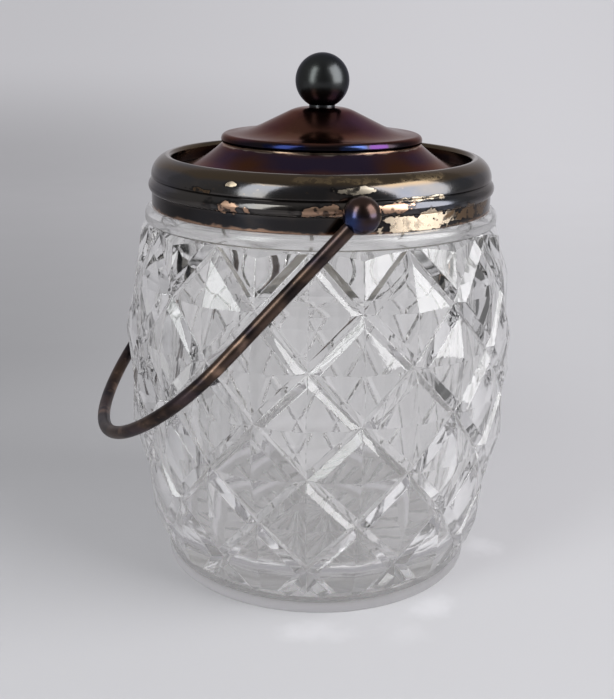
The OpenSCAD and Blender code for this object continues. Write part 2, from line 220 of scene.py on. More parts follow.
class Graph:
    """A node tree, and short calls that add nodes to it."""

    def __init__(self, tree: bpy.types.NodeTree, coordinates: str) -> None:
        """Start on a tree, with places from the named texture coordinates."""
        self.tree = tree
        self.place = tree.nodes.new("ShaderNodeTexCoord").outputs[coordinates]

    def feed(self, socket: Socket, value: Value) -> None:
        """Link a socket to another one, or set its value.

        Args:
            socket: Socket that takes the value.
            value: Another socket, or the value itself.
        """
        if isinstance(value, Socket):
            self.tree.links.new(value, socket)
        else:
            socket.default_value = value

    def node(self, kind: str, inputs: dict[str | int, Value], **settings: object) -> bpy.types.Node:
        """Add a node.

        Args:
            kind: Type of the node.
            inputs: Value or link of each named or numbered input.
            settings: The node's own settings.

        Returns:
            The new node.
        """
        made = self.tree.nodes.new(kind)
        for key, value in settings.items():
            setattr(made, key, value)
        for key, value in inputs.items():
            self.feed(made.inputs[key], value)
        return made

    def noise(self, scale: float, detail: float = 3, stretch: Point3 = (1, 1, 1)) -> Socket:
        """Cloudy noise between 0 and 1.

        Args:
            scale: Number of clouds in a metre.
            detail: Number of finer layers.
            stretch: Factor on the scale along X, Y and Z.

        Returns:
            The noise's value.
        """
        where = self.node("ShaderNodeMapping", {"Vector": self.place, "Scale": stretch}).outputs[0]
        inputs = {"Vector": where, "Scale": scale, "Detail": detail}
        return self.node("ShaderNodeTexNoise", inputs).outputs["Fac"]

    def math(self, how: str, first: Value, second: Value = 0.0) -> Socket:
        """Result of one sum."""
        return self.node("ShaderNodeMath", {0: first, 1: second}, operation=how).outputs[0]

    def band(self, value: Value, low: float, high: float, start: float = 0.0, end: float = 1.0) -> Socket:
        """Smooth step of a value.

        Args:
            value: Value that is followed.
            low: Value at which the step starts.
            high: Value at which it ends, which may be below low.
            start: Result before the step.
            end: Result after it.

        Returns:
            The result at each point.
        """
        inputs = {"Value": value, "From Min": low, "From Max": high, "To Min": start, "To Max": end}
        return self.node("ShaderNodeMapRange", inputs, interpolation_type="SMOOTHSTEP").outputs[0]

    def span(self, value: Value, low: float, high: float) -> Socket:
        """A value between 0 and 1, spread from low to high."""
        return self.node("ShaderNodeMapRange", {"Value": value, "To Min": low, "To Max": high}).outputs[0]

    def mix(self, share: Value, first: Value, second: Value) -> Socket:
        """Mix two numbers by a share of the second."""
        return self.node("ShaderNodeMix", {0: share, 2: first, 3: second}).outputs[0]

    def blend(self, share: Value, first: Value, second: Value) -> Socket:
        """Mix two colours by a share of the second.

        Args:
            share: Share of the second colour, between 0 and 1.
            first: First colour, as a socket or as red, green and blue.
            second: Second colour, likewise.

        Returns:
            The mixed colour.
        """
        colours = {6: first, 7: second}
        for key, colour in colours.items():
            if not isinstance(colour, Socket):
                colours[key] = (*colour, 1.0)
        return self.node("ShaderNodeMix", {0: share, **colours}, data_type="RGBA").outputs[2]

    def sway(self, scale: float, detail: float, size: float, stretch: Point3 = (1, 1, 1)) -> Socket:
        """Cloudy noise about 0.

        Args:
            scale: Number of clouds in a metre.
            detail: Number of finer layers.
            size: Width of its whole range.
            stretch: Factor on the scale along X, Y and Z.

        Returns:
            The noise's value.
        """
        return self.math("MULTIPLY", self.math("SUBTRACT", self.noise(scale, detail, stretch), 0.5), size)

    def height(self) -> Socket:
        """Height of a place in metres, or the rise of a direction in the sky."""
        return self.node("ShaderNodeSeparateXYZ", {0: self.place}).outputs["Z"]

    def along(self, direction: Vector) -> Socket:
        """How far a place lies along a direction."""
        inputs = {0: self.place, 1: direction}
        return self.node("ShaderNodeVectorMath", inputs, operation="DOT_PRODUCT").outputs["Value"]

    def length(self, vector: Socket) -> Socket:
        """Length of a vector."""
        return self.node("ShaderNodeVectorMath", {0: vector}, operation="LENGTH").outputs["Value"]

    def spot(self, azimuth: float, radius: float, height: float, half: Point3) -> Socket:
        """Distance from the middle of a spot, as a share of its half sizes.

        Args:
            azimuth: Angle of the middle from the front pivot, in degrees.
            radius: Its distance from the axis, in millimetres.
            height: Its height in millimetres.
            half: Half the spot's width, depth and height, in millimetres.

        Returns:
            The share at each point, 1 on the spot's edge.
        """
        inputs = {
            "Vector": self.place,
            "Location": around(azimuth, radius, height),
            "Rotation": (0, 0, math.radians(azimuth)),
            "Scale": Vector(half) * MM,
        }
        return self.length(self.node("ShaderNodeMapping", inputs, vector_type="TEXTURE").outputs[0])


class Shader(Graph):
    """A material with a Principled surface."""

    def __init__(self, name: str) -> None:
        """Start a material.

        Args:
            name: Name of the new material.
        """
        self.material = bpy.data.materials.new(name)
        self.material.use_nodes = True
        super().__init__(self.material.node_tree, "Object")
        self.surface = self.tree.nodes["Principled BSDF"]

    def set(self, **values: Value) -> None:
        """Set inputs of the surface, with underscores for the spaces in their names."""
        for key, value in values.items():
            self.feed(self.surface.inputs[key.replace("_", " ")], value)

    def bump(self, relief: Value, strength: float) -> None:
        """Give the surface a fine relief.

        Args:
            relief: Height of the relief, between 0 and 1.
            strength: How much of it shows.
        """
        inputs = {"Height": relief, "Strength": strength, "Distance": RELIEF}
        self.set(Normal=self.node("ShaderNodeBump", inputs).outputs["Normal"])


@dataclass(frozen=True)
class Patch:
    """A worn place on the plate: where it is, how large, and what shows there."""

    azimuth: float
    radius: float
    height: float
    half_w: float
    half_h: float
    colour: Colour
    rough: float = 0.32
    stained: float = 0.85
    soft: float = 0.0
    rim: Point2 = (1.1, 0.95)
    scab_rim: Point2 = (1.45, 1.15)
    scab_share: float = 0.75

    def reach(self, shader: Shader, ragged: Socket) -> Socket:
        """Distance from the patch's middle, about 1 at its ragged edge.

        Args:
            shader: Material that the patch is on.
            ragged: Noise that makes the patch's edge ragged.

        Returns:
            The distance at each point.
        """
        half = (self.half_w, self.half_w, self.half_h)
        reach = shader.spot(self.azimuth, self.radius, self.height, half)
        return shader.math("ADD", reach, shader.math("MULTIPLY", ragged, 1.0 - self.soft))

    def mask(self, shader: Shader, reach: Socket) -> Socket:
        """Share of the patch at a distance from its middle, 1 on it and 0 off it."""
        return shader.band(reach, self.rim[0], self.rim[1] - self.soft)

    def scab(self, shader: Shader, reach: Socket) -> Socket:
        """Share of the dark plate that is lifting around the patch."""
        return shader.math("MULTIPLY", shader.band(reach, *self.scab_rim), self.scab_share)


@dataclass(frozen=True)
class Band:
    """A ring of another colour around the plate, at one height, for tarnish, wear and painted highlights."""

    height: float
    half_h: float
    colour: Colour
    share: float = 0.8
    torn: bool = False
    rim: Point2 = (1.3, 0.5)

    def mask(self, shader: Shader, ragged: Socket) -> Socket:
        """Share of the band at each point.

        Args:
            shader: Material that the band is on.
            ragged: Noise that makes the band's edge uneven.

        Returns:
            The band's share on it and 0 off it.
        """
        off = shader.math("ABSOLUTE", shader.math("SUBTRACT", shader.height(), self.height * MM))
        reach = shader.math("ADD", shader.math("DIVIDE", off, self.half_h * MM), ragged)
        return shader.math("MULTIPLY", shader.band(reach, *self.rim), self.share)


@dataclass(frozen=True)
class TarnishedPlate:
    """Silver plate gone dark: cloudy colours, blue and purple tints, pits and worn places."""

    name: str
    dark: Colour
    mid: Colour
    light: Colour
    tint: Colour
    tint_share: float = 0.35
    rough: Point2 = (0.12, 0.26)
    cloud: float = 28
    cloud_stretch: Point3 = (1, 1, 1.6)
    light_scale: float = 2.3
    tint_scale: float = 0.8
    tint_stretch: Point3 = (1, 1, 2.5)
    rough_scale: float = 3.0
    uneven_scale: float = 1.4
    uneven: float = 2.0
    grain: float = 900
    grain_relief: float = 0.12
    stain_scale: float = 0.45
    tear: float = 240
    tear_stretch: Point3 = (1, 1, 1.5)
    tear_size: float = 3.6
    pits: float = 0.25
    pit_colour: Colour = (0.3, 0.2, 0.13)
    scab: Colour = (0.02, 0.019, 0.02)
    edge: Colour = (0.8, 0.78, 0.78)
    cloud_step: Point2 = (0.38, 0.56)
    light_step: Point2 = (0.55, 0.75)
    tint_step: Point2 = (0.48, 0.68)
    pit_step: Point2 = (0.66, 0.74)
    stain_step: Point2 = (0.5, 0.64)
    bands: tuple[Band, ...] = ()
    patches: tuple[Patch, ...] = ()

    def material(self) -> bpy.types.Material:
        """Make the material.

        Returns:
            The finished material.
        """
        s = Shader(self.name)
        clouds = s.noise(self.cloud, 5, self.cloud_stretch)
        colour = s.blend(s.band(clouds, *self.cloud_step), self.dark, self.mid)
        lighter = s.band(s.noise(self.cloud * self.light_scale, 4), *self.light_step)
        colour = s.blend(lighter, colour, self.light)
        tinted = s.band(s.noise(self.cloud * self.tint_scale, 2, self.tint_stretch), *self.tint_step)
        colour = s.blend(s.math("MULTIPLY", tinted, self.tint_share), colour, self.tint)
        specks = s.math("MULTIPLY", s.band(s.noise(self.grain, 3), *self.pit_step), self.pits)
        colour = s.blend(specks, colour, self.pit_colour)
        uneven = s.sway(self.cloud * self.uneven_scale, 3, self.uneven)
        ragged = s.sway(self.tear, 9, self.tear_size, self.tear_stretch)
        for band in self.bands:
            colour = s.blend(band.mask(s, ragged if band.torn else uneven), colour, band.colour)
        rough = s.span(s.noise(self.cloud * self.rough_scale, 6), *self.rough)
        stains = s.band(s.noise(self.grain * self.stain_scale, 6), *self.stain_step)
        for patch in self.patches:
            reach = patch.reach(s, ragged)
            if patch.soft == 0.0:
                colour = s.blend(patch.scab(s, reach), colour, self.scab)
            share = s.math("MULTIPLY", patch.mask(s, reach), s.span(stains, 1.0, 1.0 - patch.stained))
            colour = s.blend(share, colour, patch.colour)
            rough = s.mix(share, rough, patch.rough)
        s.set(Base_Color=colour, Metallic=1.0, Roughness=rough, Specular_Tint=(*self.edge, 1.0))
        s.bump(s.math("ADD", s.noise(self.grain, 4), specks), self.grain_relief)
        return s.material


@dataclass(frozen=True)
class ClearGlass:
    """Clear cut glass, with faint wear on its facets, a scuffed foot painted darker as shade, and a softer
    shoulder ring.
    """

    name: str
    tint: Colour = (0.966, 0.964, 0.956)
    cloudy: Colour = (0.946, 0.942, 0.931)
    # Painted shade: the tint of the glass towards the bottom, darker to stand in for the shade under the
    # jar.
    foot: Colour = (0.74, 0.732, 0.722)
    rough: Point2 = (0.0, 0.04)
    wear_and_shade_to: float = 9.0
    worn_rough: float = 0.5
    ring_from: float = 121.4
    ring_fade: float = 0.4
    ring_rough: float = 0.2
    haze: float = 60
    haze_step: Point2 = (0.45, 0.75)
    wear: float = 180
    ripple: float = 420
    ripple_relief: float = 0.08
    ior: float = 1.5

    def material(self) -> bpy.types.Material:
        """Make the material.

        Returns:
            The finished material.
        """
        s = Shader(self.name)
        haze = s.band(s.noise(self.haze, 4), *self.haze_step)
        # Towards the bottom the glass is scuffed rougher and painted darker as shade.
        low = s.band(s.height(), self.wear_and_shade_to * MM, 0.0)
        ring = s.band(s.height(), self.ring_from * MM, (self.ring_from + self.ring_fade) * MM)
        worn = s.math("MULTIPLY", low, self.worn_rough)
        worn = s.math("ADD", worn, s.math("MULTIPLY", ring, self.ring_rough))
        s.set(
            Base_Color=s.blend(low, s.blend(haze, self.tint, self.cloudy), self.foot),
            Roughness=s.math("ADD", s.span(s.noise(self.wear, 5), *self.rough), worn),
            Transmission_Weight=1.0,
            IOR=self.ior,
        )
        s.bump(s.noise(self.ripple, 3), self.ripple_relief)
        return s.material


@dataclass(frozen=True)
class PlainSolid:
    """A plain cloudy finish for the pieces inside: turned brass or plaster."""

    name: str
    first: Colour
    second: Colour
    metallic: float
    rough: Point2
    scale: float
    cloud_step: Point2 = (0.35, 0.65)
    relief: float = 0.15

    def material(self) -> bpy.types.Material:
        """Make the material.

        Returns:
            The finished material.
        """
        s = Shader(self.name)
        s.set(
            Base_Color=s.blend(s.band(s.noise(self.scale, 5), *self.cloud_step), self.first, self.second),
            Metallic=self.metallic,
            Roughness=s.span(s.noise(self.scale * 2, 4), *self.rough),
        )
        s.bump(s.noise(self.scale * 6, 4), self.relief)
        return s.material


def dress(piece: bpy.types.Object, material: bpy.types.Material) -> None:
    """Give a piece one material."""
    piece.data.materials.clear()
    piece.data.materials.append(material)


def stand_in(piece: bpy.types.Object, body: str, node: str) -> None:
    """Let a piece stand for a node of the frame.

    Args:
        piece: The detailed piece.
        body: Body that it moves with.
        node: Node that it replaces.
    """
    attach(piece, body)
    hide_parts(node)
    log.info("%s rides on %s and stands for %s", piece.name, body, node)


def keep(node: str, finish: bpy.types.Material) -> None:
    """Keep a node of the frame and give it a finish."""
    dress(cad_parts[node], finish)
    log.info("%s is kept and finished with %s", node, finish.name)


@dataclass
class GlassJar:
    """The cut-glass jar: a lattice of diamonds on a barrel, a foot with a star, a shoulder and a neck."""

    foot_r: float = 54.4
    foot_h: float = 7.5
    cut_foot_r: float = 55.6
    belly_r: float = 67.4
    belly_z: float = 75.0
    cut_top_r: float = 60.5
    shoulder_z: float = 121.5
    shoulder_h: float = 4.5
    shoulder_r: float = 59.2
    neck_r: float = 53.0
    neck_h: float = 9.2
    neck_wall: float = 5.0
    neck_run: float = 22.0
    wall: float = 4.5
    floor_t: float = 12.0
    floor_fillet: float = 10.0
    diamonds: int = 12
    row_pitch: float = 17.4
    top_row_drop: float = 0.7
    cut_turn: float = 1.7
    cut_w: float = 5.3
    cut_d: float = 1.9
    point_h: float = 1.6
    shoulder_groove: float = 2.0
    star_rays: int = 24
    star_r: float = 40.0
    star_start: float = 3.0
    star_angle: float = 110.0
    star_fill: float = 0.92
    foot_ring_w: float = 8.0
    foot_recess: float = 1.0
    edge_ease: float = 0.22
    ease_from: float = 3.0
    hand_cut: float = 0.18
    hand_seed: int = 7
    hollow_steps: int = 72
    sharp: float = 6.0
    sides: int = 240

    @property
    def relief(self) -> float:
        """Depth from a diamond's point to the bottom of a cut."""
        return self.point_h + self.cut_d

    @property
    def shoulder_top(self) -> float:
        """Height of the shoulder's upper side."""
        return self.shoulder_z + self.shoulder_h

    def barrel(self, z: float) -> float:
        """Radius over the diamond points at a height.

        Args:
            z: The height.

        Returns:
            The barrel's radius there.
        """
        z = min(max(z, 0.0), self.shoulder_z)
        if z < self.belly_z:
            swell = math.sin(math.pi / 2 * z / self.belly_z)
            return self.cut_foot_r + (self.belly_r - self.cut_foot_r) * swell
        up = (z - self.belly_z) / (self.shoulder_z - self.belly_z)
        return self.belly_r - (self.belly_r - self.cut_top_r) * up * up

    def lattice_point(self, column: float, row: float, depth: float) -> Point3:
        """A point of the lattice.

        Args:
            column: Column, counted from the front.
            row: Row, counted down from the shoulder.
            depth: Depth below the diamond points.

        Returns:
            The point in millimetres.
        """
        z = self.shoulder_z - self.top_row_drop - row * self.row_pitch
        turn = math.radians(column * 180 / self.diamonds + self.cut_turn)
        radius = self.barrel(z) - depth
        return radius * math.sin(turn), -radius * math.cos(turn), z

    def cut_lattice(self) -> bpy.types.Object:
        """Make the skin of flat facets, each diamond a low pyramid that falls away into the cuts.

        Returns:
            The closed lattice, longer than the part of it that stays.
        """
        hand = random.Random(self.hand_seed)
        columns = 2 * self.diamonds
        top = self.shoulder_z - self.top_row_drop
        rows = math.ceil(top / self.row_pitch) + 1
        share = 1 - self.cut_w / (math.sqrt(2) * self.row_pitch)
        around_point = ((1, 0), (0, -1), (-1, 0), (0, 1))
        points: list[Point3] = []
        sites: dict[tuple[int, int], int] = {}
        for row in range(-1, rows + 2):
            for column in range(columns):
                depth = 0.0 if (column + row) % 2 == 0 else self.relief
                sites[column, row] = len(points)
                points.append(self.lattice_point(column, row, depth + hand.uniform(0, self.hand_cut)))
        faces: list[tuple[int, ...]] = []
        for row in range(rows + 1):
            for column in range(row % 2, columns, 2):
                pads = []
                cross = []
                for dx, dz in around_point:
                    pads.append(len(points))
                    depth = self.point_h + hand.uniform(0, self.hand_cut)
                    points.append(self.lattice_point(column + dx * share, row + dz * share, depth))
                    cross.append(sites[(column + dx) % columns, row + dz])
                for j in range(4):
                    n = (j + 1) % 4
                    faces.append((sites[column, row], pads[n], pads[j]))
                    faces.append((pads[j], pads[n], cross[n]))
                    faces.append((pads[j], cross[n], cross[j]))
        cut_faces = len(faces)
        ends = len(points)
        points.extend(((0, 0, top), (0, 0, top - rows * self.row_pitch)))
        for column in range(columns):
            low, high = [], []
            for step in (column, column + 1):
                at_top = step % 2 == 0
                at_foot = (step + rows) % 2 == 0
                high.append(sites[step % columns, -1 if at_top else 0])
                low.append(sites[step % columns, rows + 1 if at_foot else rows])
            faces.append((ends, high[1], high[0]))
            faces.append((ends + 1, low[0], low[1]))
        mesh = build_mesh("glass_lattice", points, faces)
        self.ease_edges(mesh, cut_faces)
        return place("glass_lattice", mesh)

    def ease_edges(self, mesh: bpy.types.Mesh, cut_faces: int) -> None:
        """Round the edges of the facets a little, as polishing does.

        Args:
            mesh: Mesh of the lattice.
            cut_faces: Number of its facets, which come first among its faces.
        """
        shape = bmesh.new()
        shape.from_mesh(mesh)
        edges = [
            edge for edge in shape.edges
            if all(face.index < cut_faces for face in edge.link_faces)
            and edge.calc_face_angle(0.0) > math.radians(self.ease_from)
        ]
        bmesh.ops.bevel(
            shape, geom=edges, offset=self.edge_ease * MM, segments=2, profile=0.5, affect="EDGES",
            clamp_overlap=True,
        )
        shape.to_mesh(mesh)
        shape.free()

    def cut_limits(self) -> bpy.types.Object:
        """The space in which the cutting stays: it runs out on the foot and under the shoulder.

        Returns:
            The solid that limits the lattice.
        """
        out_r = self.belly_r + LAP
        groove_r = self.cut_top_r - self.shoulder_groove
        lap = LAP / 2
        return lathe("glass_limits", [
            (0, self.foot_h - lap),
            (self.foot_r - lap, self.foot_h - lap),
            (self.foot_r, self.foot_h),
            (out_r, self.foot_h + (out_r - self.foot_r) / 2),
            (out_r, self.shoulder_z - (out_r - groove_r)),
            (groove_r, self.shoulder_z),
            (groove_r - lap, self.shoulder_z + lap),
            (0, self.shoulder_z + lap),
        ], self.sides)

    def foot(self) -> bpy.types.Object:
        """The plain foot, with an eased lower edge.

        Returns:
            The foot up to the cutting.
        """
        ease = self.foot_recess
        return lathe("glass_foot", [
            (0, 0),
            *arc((self.foot_r - ease, ease), ease, -90, 0, 16),
            (self.foot_r, self.foot_h),
            (0, self.foot_h),
        ], self.sides)

    def shoulder(self) -> bpy.types.Object:
        """The smooth shoulder ring and the neck above it.

        Returns:
            Ring and neck as one solid.
        """
        half = self.shoulder_h / 2
        edge = self.shoulder_h / 6
        ease = self.neck_wall / 4
        top = self.shoulder_top + self.neck_h
        return lathe("glass_shoulder", [
            (0, self.shoulder_z),
            *arc((self.shoulder_r - edge, self.shoulder_z + edge), edge, -90, 0, 16),
            *arc((self.shoulder_r - half, self.shoulder_top - half), half, 0, 90, 24),
            (self.neck_r, self.shoulder_top),
            *arc((self.neck_r - ease, top - ease), ease, 0, 90, 20),
            (0, top),
        ], self.sides)

    def hollow_r(self, z: float) -> float:
        """Radius of the hollow at a height: even behind the cuts, drawn in to the neck at the top.

        Args:
            z: The height.

        Returns:
            The hollow's radius there.
        """
        up = max(1 - (self.shoulder_top - z) / self.neck_run, 0.0)
        share = up * up * (3 - 2 * up)
        behind = self.barrel(z) - self.relief - self.wall
        return behind * (1 - share) + (self.neck_r - self.neck_wall) * share

    def hollow(self) -> bpy.types.Object:
        """The hollow of the jar, with a rounded floor.

        Returns:
            The solid to cut away.
        """
        low = self.floor_t + self.floor_fillet
        rise = (self.shoulder_top - low) / self.hollow_steps
        top = self.shoulder_top + self.neck_h + LAP
        return lathe("glass_hollow", [
            (0, self.floor_t),
            *arc((self.hollow_r(low) - self.floor_fillet, low), self.floor_fillet, -90, 0, 24),
            *[(self.hollow_r(low + rise * k), low + rise * k) for k in range(1, self.hollow_steps + 1)],
            (self.neck_r - self.neck_wall, top),
            (0, top),
        ], self.sides)

    def recess(self) -> bpy.types.Object:
        """The shallow recess inside the foot ring.

        Returns:
            The solid to cut away.
        """
        radius = self.foot_r - self.foot_ring_w
        depth = self.foot_recess
        outline = [(0, -LAP), (radius + LAP, -LAP), (radius, depth), (0, depth)]
        return lathe("glass_recess", outline, self.sides)

    def star(self) -> bpy.types.Object:
        """The rays of the star under the base, V cuts that widen and deepen outwards and nearly meet.

        Returns:
            The wedges to cut away, one for each ray.
        """
        flare = math.tan(math.radians(self.star_angle / 2))
        slope = self.star_fill * math.tan(math.pi / self.star_rays) / flare
        lap = 0.01
        points: list[Point3] = []
        faces: list[tuple[int, ...]] = []
        for k in range(self.star_rays):
            turn = 2 * math.pi * k / self.star_rays
            first = len(points)
            for reach in (self.star_start, self.star_r):
                depth = reach * slope
                half = (depth + lap) * flare
                for across, up in ((-half, -lap), (0.0, depth), (half, -lap)):
                    x = reach * math.cos(turn) - across * math.sin(turn)
                    y = reach * math.sin(turn) + across * math.cos(turn)
                    points.append((x, y, self.foot_recess + up))
            faces.append((first, first + 1, first + 2))
            faces.append((first + 3, first + 4, first + 5))
            for j in range(3):
                n = (j + 1) % 3
                faces.append((first + j, first + n, first + 3 + n, first + 3 + j))
        return place("glass_star", build_mesh("glass_star", points, faces))

    def build(self, finish: bpy.types.Material, inside: bpy.types.Material) -> None:
        """Make the jar and set it on its node.

        Args:
            finish: Material of the cut and polished faces.
            inside: Material of the hollow.
        """
        jar = self.cut_lattice()
        jar.name = "cut_glass_jar"
        for material in (finish, inside):
            jar.data.materials.append(material)
        carve(jar, self.cut_limits(), Carve.KEEP)
        carve(jar, self.foot(), Carve.ADD)
        carve(jar, self.shoulder(), Carve.ADD)
        hollow = self.hollow()
        for material in (finish, inside):
            hollow.data.materials.append(material)
        for face in hollow.data.polygons:
            face.material_index = 1
        carve(jar, hollow, Carve.CUT)
        carve(jar, self.recess(), Carve.CUT)
        carve(jar, self.star(), Carve.CUT)
        smooth(jar.data, self.sharp)
        stand_in(jar, "jar", "glass_jar")


@dataclass
class Collar:
    """The spun collar: skirt, bead, groove, dome and rolled lip, with the ledge that carries the lid."""

    sheet: float = 0.9
    foot_z: float = 126.0
    skirt_r: float = 56.9
    skirt_h: float = 5.0
    bead_h: float = 4.0
    bead_rise: float = 1.0
    groove_h: float = 1.0
    groove_d: float = 0.4
    dome_r: float = 6.9
    lip_roll_r: float = 1.45
    mouth_r: float = 50.0
    ledge_r: float = 46.6
    ledge_z: float = 136.4
    ledge_drop: float = 3.0
    dent: float = 0.12
    dent_scale: float = 45.0
    sharp: float = 35.0
    sides: int = 320

    @property
    def bead_z(self) -> float:
        """Height of the bead's middle, where the bail's pivots are."""
        return self.foot_z + self.skirt_h + self.bead_h / 2

    def outline(self) -> list[Point2]:
        """Section of the collar.

        Returns:
            Radius and height of each corner.
        """
        bead_top = self.bead_z + self.bead_h / 2
        bead_arc = ((self.bead_h / 2) ** 2 + self.bead_rise ** 2) / (2 * self.bead_rise)
        bead_half = math.degrees(math.asin(self.bead_h / 2 / bead_arc))
        bead_c = (self.skirt_r + self.bead_rise - bead_arc, self.bead_z)
        dome_c = (self.skirt_r - self.dome_r, bead_top + self.groove_h)
        lip_reach = self.dome_r - self.lip_roll_r
        lip_angle = math.degrees(math.acos((self.mouth_r + self.lip_roll_r - dome_c[0]) / lip_reach))
        lip_c = (self.mouth_r + self.lip_roll_r, dome_c[1] + lip_reach * math.sin(math.radians(lip_angle)))
        in_r = self.dome_r - self.sheet
        in_end = math.degrees(math.acos((self.mouth_r + self.sheet - dome_c[0]) / in_r))
        under = self.ledge_z - self.sheet
        ease = self.sheet / 3
        return [
            (self.skirt_r - ease, self.foot_z),
            (self.skirt_r, self.foot_z + ease),
            *arc(bead_c, bead_arc, -bead_half, bead_half, 20),
            (self.skirt_r - self.groove_d, bead_top + self.groove_h / 2),
            *arc(dome_c, self.dome_r, 0, lip_angle, 36),
            *arc(lip_c, self.lip_roll_r, lip_angle, 180, 24)[1:],
            (self.mouth_r, self.ledge_z),
            (self.ledge_r, self.ledge_z),
            (self.ledge_r, under - self.ledge_drop),
            (self.ledge_r + self.sheet, under - self.ledge_drop),
            (self.ledge_r + self.sheet, under),
            (self.mouth_r + self.sheet, under),
            *arc(dome_c, in_r, in_end, 0, 24),
            (self.skirt_r - self.sheet, self.foot_z),
        ]

    def dented(self, corner: Vector) -> Vector:
        """A corner moved in by the handling dents of the sheet.

        Args:
            corner: Place before, in metres.

        Returns:
            Place after, never further out.
        """
        depth = self.dent * MM * 0.5 * (1 + noise.noise(corner * self.dent_scale))
        out = Vector((corner.x, corner.y, 0)).normalized()
        return corner - out * depth

    def build(self, finish: bpy.types.Material, inside: bpy.types.Material) -> None:
        """Make the collar and set it on its node.

        Args:
            finish: Material of the faces that the air reaches.
            inside: Material of the hidden faces, which have kept their silver.
        """
        outline = self.outline()
        hidden_from = outline.index((self.ledge_r, self.ledge_z))
        collar = lathe("spun_collar", outline, self.sides, self.sharp)
        shift(collar, self.dented)
        dress(collar, finish)
        collar.data.materials.append(inside)
        for face in collar.data.polygons:
            if hidden_from <= face.index // self.sides < len(outline) - 1:
                face.material_index = 1
        stand_in(collar, "jar", "collar")


@dataclass
class Lid:
    """The spun lid: a flat edge, a flared lower tier, a rounded rim and a crown."""

    sheet: float = 0.9
    lid_r: float = 49.5
    lid_z: float = 137.4
    edge_w: float = 1.5
    flare_slope: float = 18.0
    waist_r: float = 33.0
    waist_h: float = 9.0
    rim_out: float = 0.5
    rim_r: float = 1.8
    slope_r: float = 20.0
    slope_angle: float = 26.0
    crown_r: float = 11.0
    seat_r: float = 5.0
    hole_r: float = 2.1
    sides: int = 320

    def side(self, inset: float) -> list[Point2]:
        """Outline of the upper side, or of the underside when set in by the sheet.

        Args:
            inset: Distance below the upper side.

        Returns:
            Points from the edge to the hole in the crown.
        """
        flare_r = self.lid_r - self.edge_w
        run = flare_r - self.waist_r
        flare_end = 2 * math.degrees(math.atan2(self.waist_h, run)) - self.flare_slope
        half_turn = math.radians(flare_end - self.flare_slope) / 2
        flare_arc = math.hypot(run, self.waist_h) / (2 * math.sin(half_turn))
        slope = math.radians(self.flare_slope)
        flare_c = (flare_r + flare_arc * math.sin(slope), self.lid_z + flare_arc * math.cos(slope))
        rim_axis = self.waist_r + self.rim_out - self.rim_r
        rim_start = math.degrees(math.acos(1 - self.rim_out / self.rim_r))
        rim_z = self.lid_z + self.waist_h + self.rim_r * math.sin(math.radians(rim_start))
        rise = math.radians(self.slope_angle)
        hollow_arc = (rim_axis - self.slope_r) / math.sin(rise)
        slope_z = rim_z + self.rim_r + hollow_arc * (1 - math.cos(rise))
        crown_z = slope_z + (self.slope_r - self.crown_r) * math.tan(rise)
        crown_arc = (self.crown_r - self.seat_r) / math.sin(rise)
        seat_z = crown_z + crown_arc * (1 - math.cos(rise))
        hollow_c = (rim_axis, rim_z + self.rim_r + hollow_arc)
        return [
            (self.lid_r, self.lid_z - inset),
            *arc(flare_c, flare_arc + inset, -90 - self.flare_slope, -90 - flare_end, 40),
            *arc((rim_axis, rim_z), self.rim_r - inset, -rim_start, 90, 30)[1:],
            *arc(hollow_c, hollow_arc + inset, -90, -90 - self.slope_angle, 30)[1:],
            *arc((self.seat_r, seat_z - crown_arc), crown_arc - inset, 90 - self.slope_angle, 90, 24),
            (self.hole_r, seat_z - inset),
        ]

    def build(self, finish: bpy.types.Material, inside: bpy.types.Material) -> None:
        """Make the lid and set it on its node.

        Args:
            finish: Material of the upper side.
            inside: Material of the underside, which has kept its silver.
        """
        upper = self.side(0)
        lid = lathe("spun_lid", [*upper, *reversed(self.side(self.sheet))], self.sides)
        dress(lid, finish)
        lid.data.materials.append(inside)
        for face in lid.data.polygons:
            if len(upper) <= face.index // self.sides < 2 * len(upper) - 1:
                face.material_index = 1
        stand_in(lid, "lid", "lid_shell")


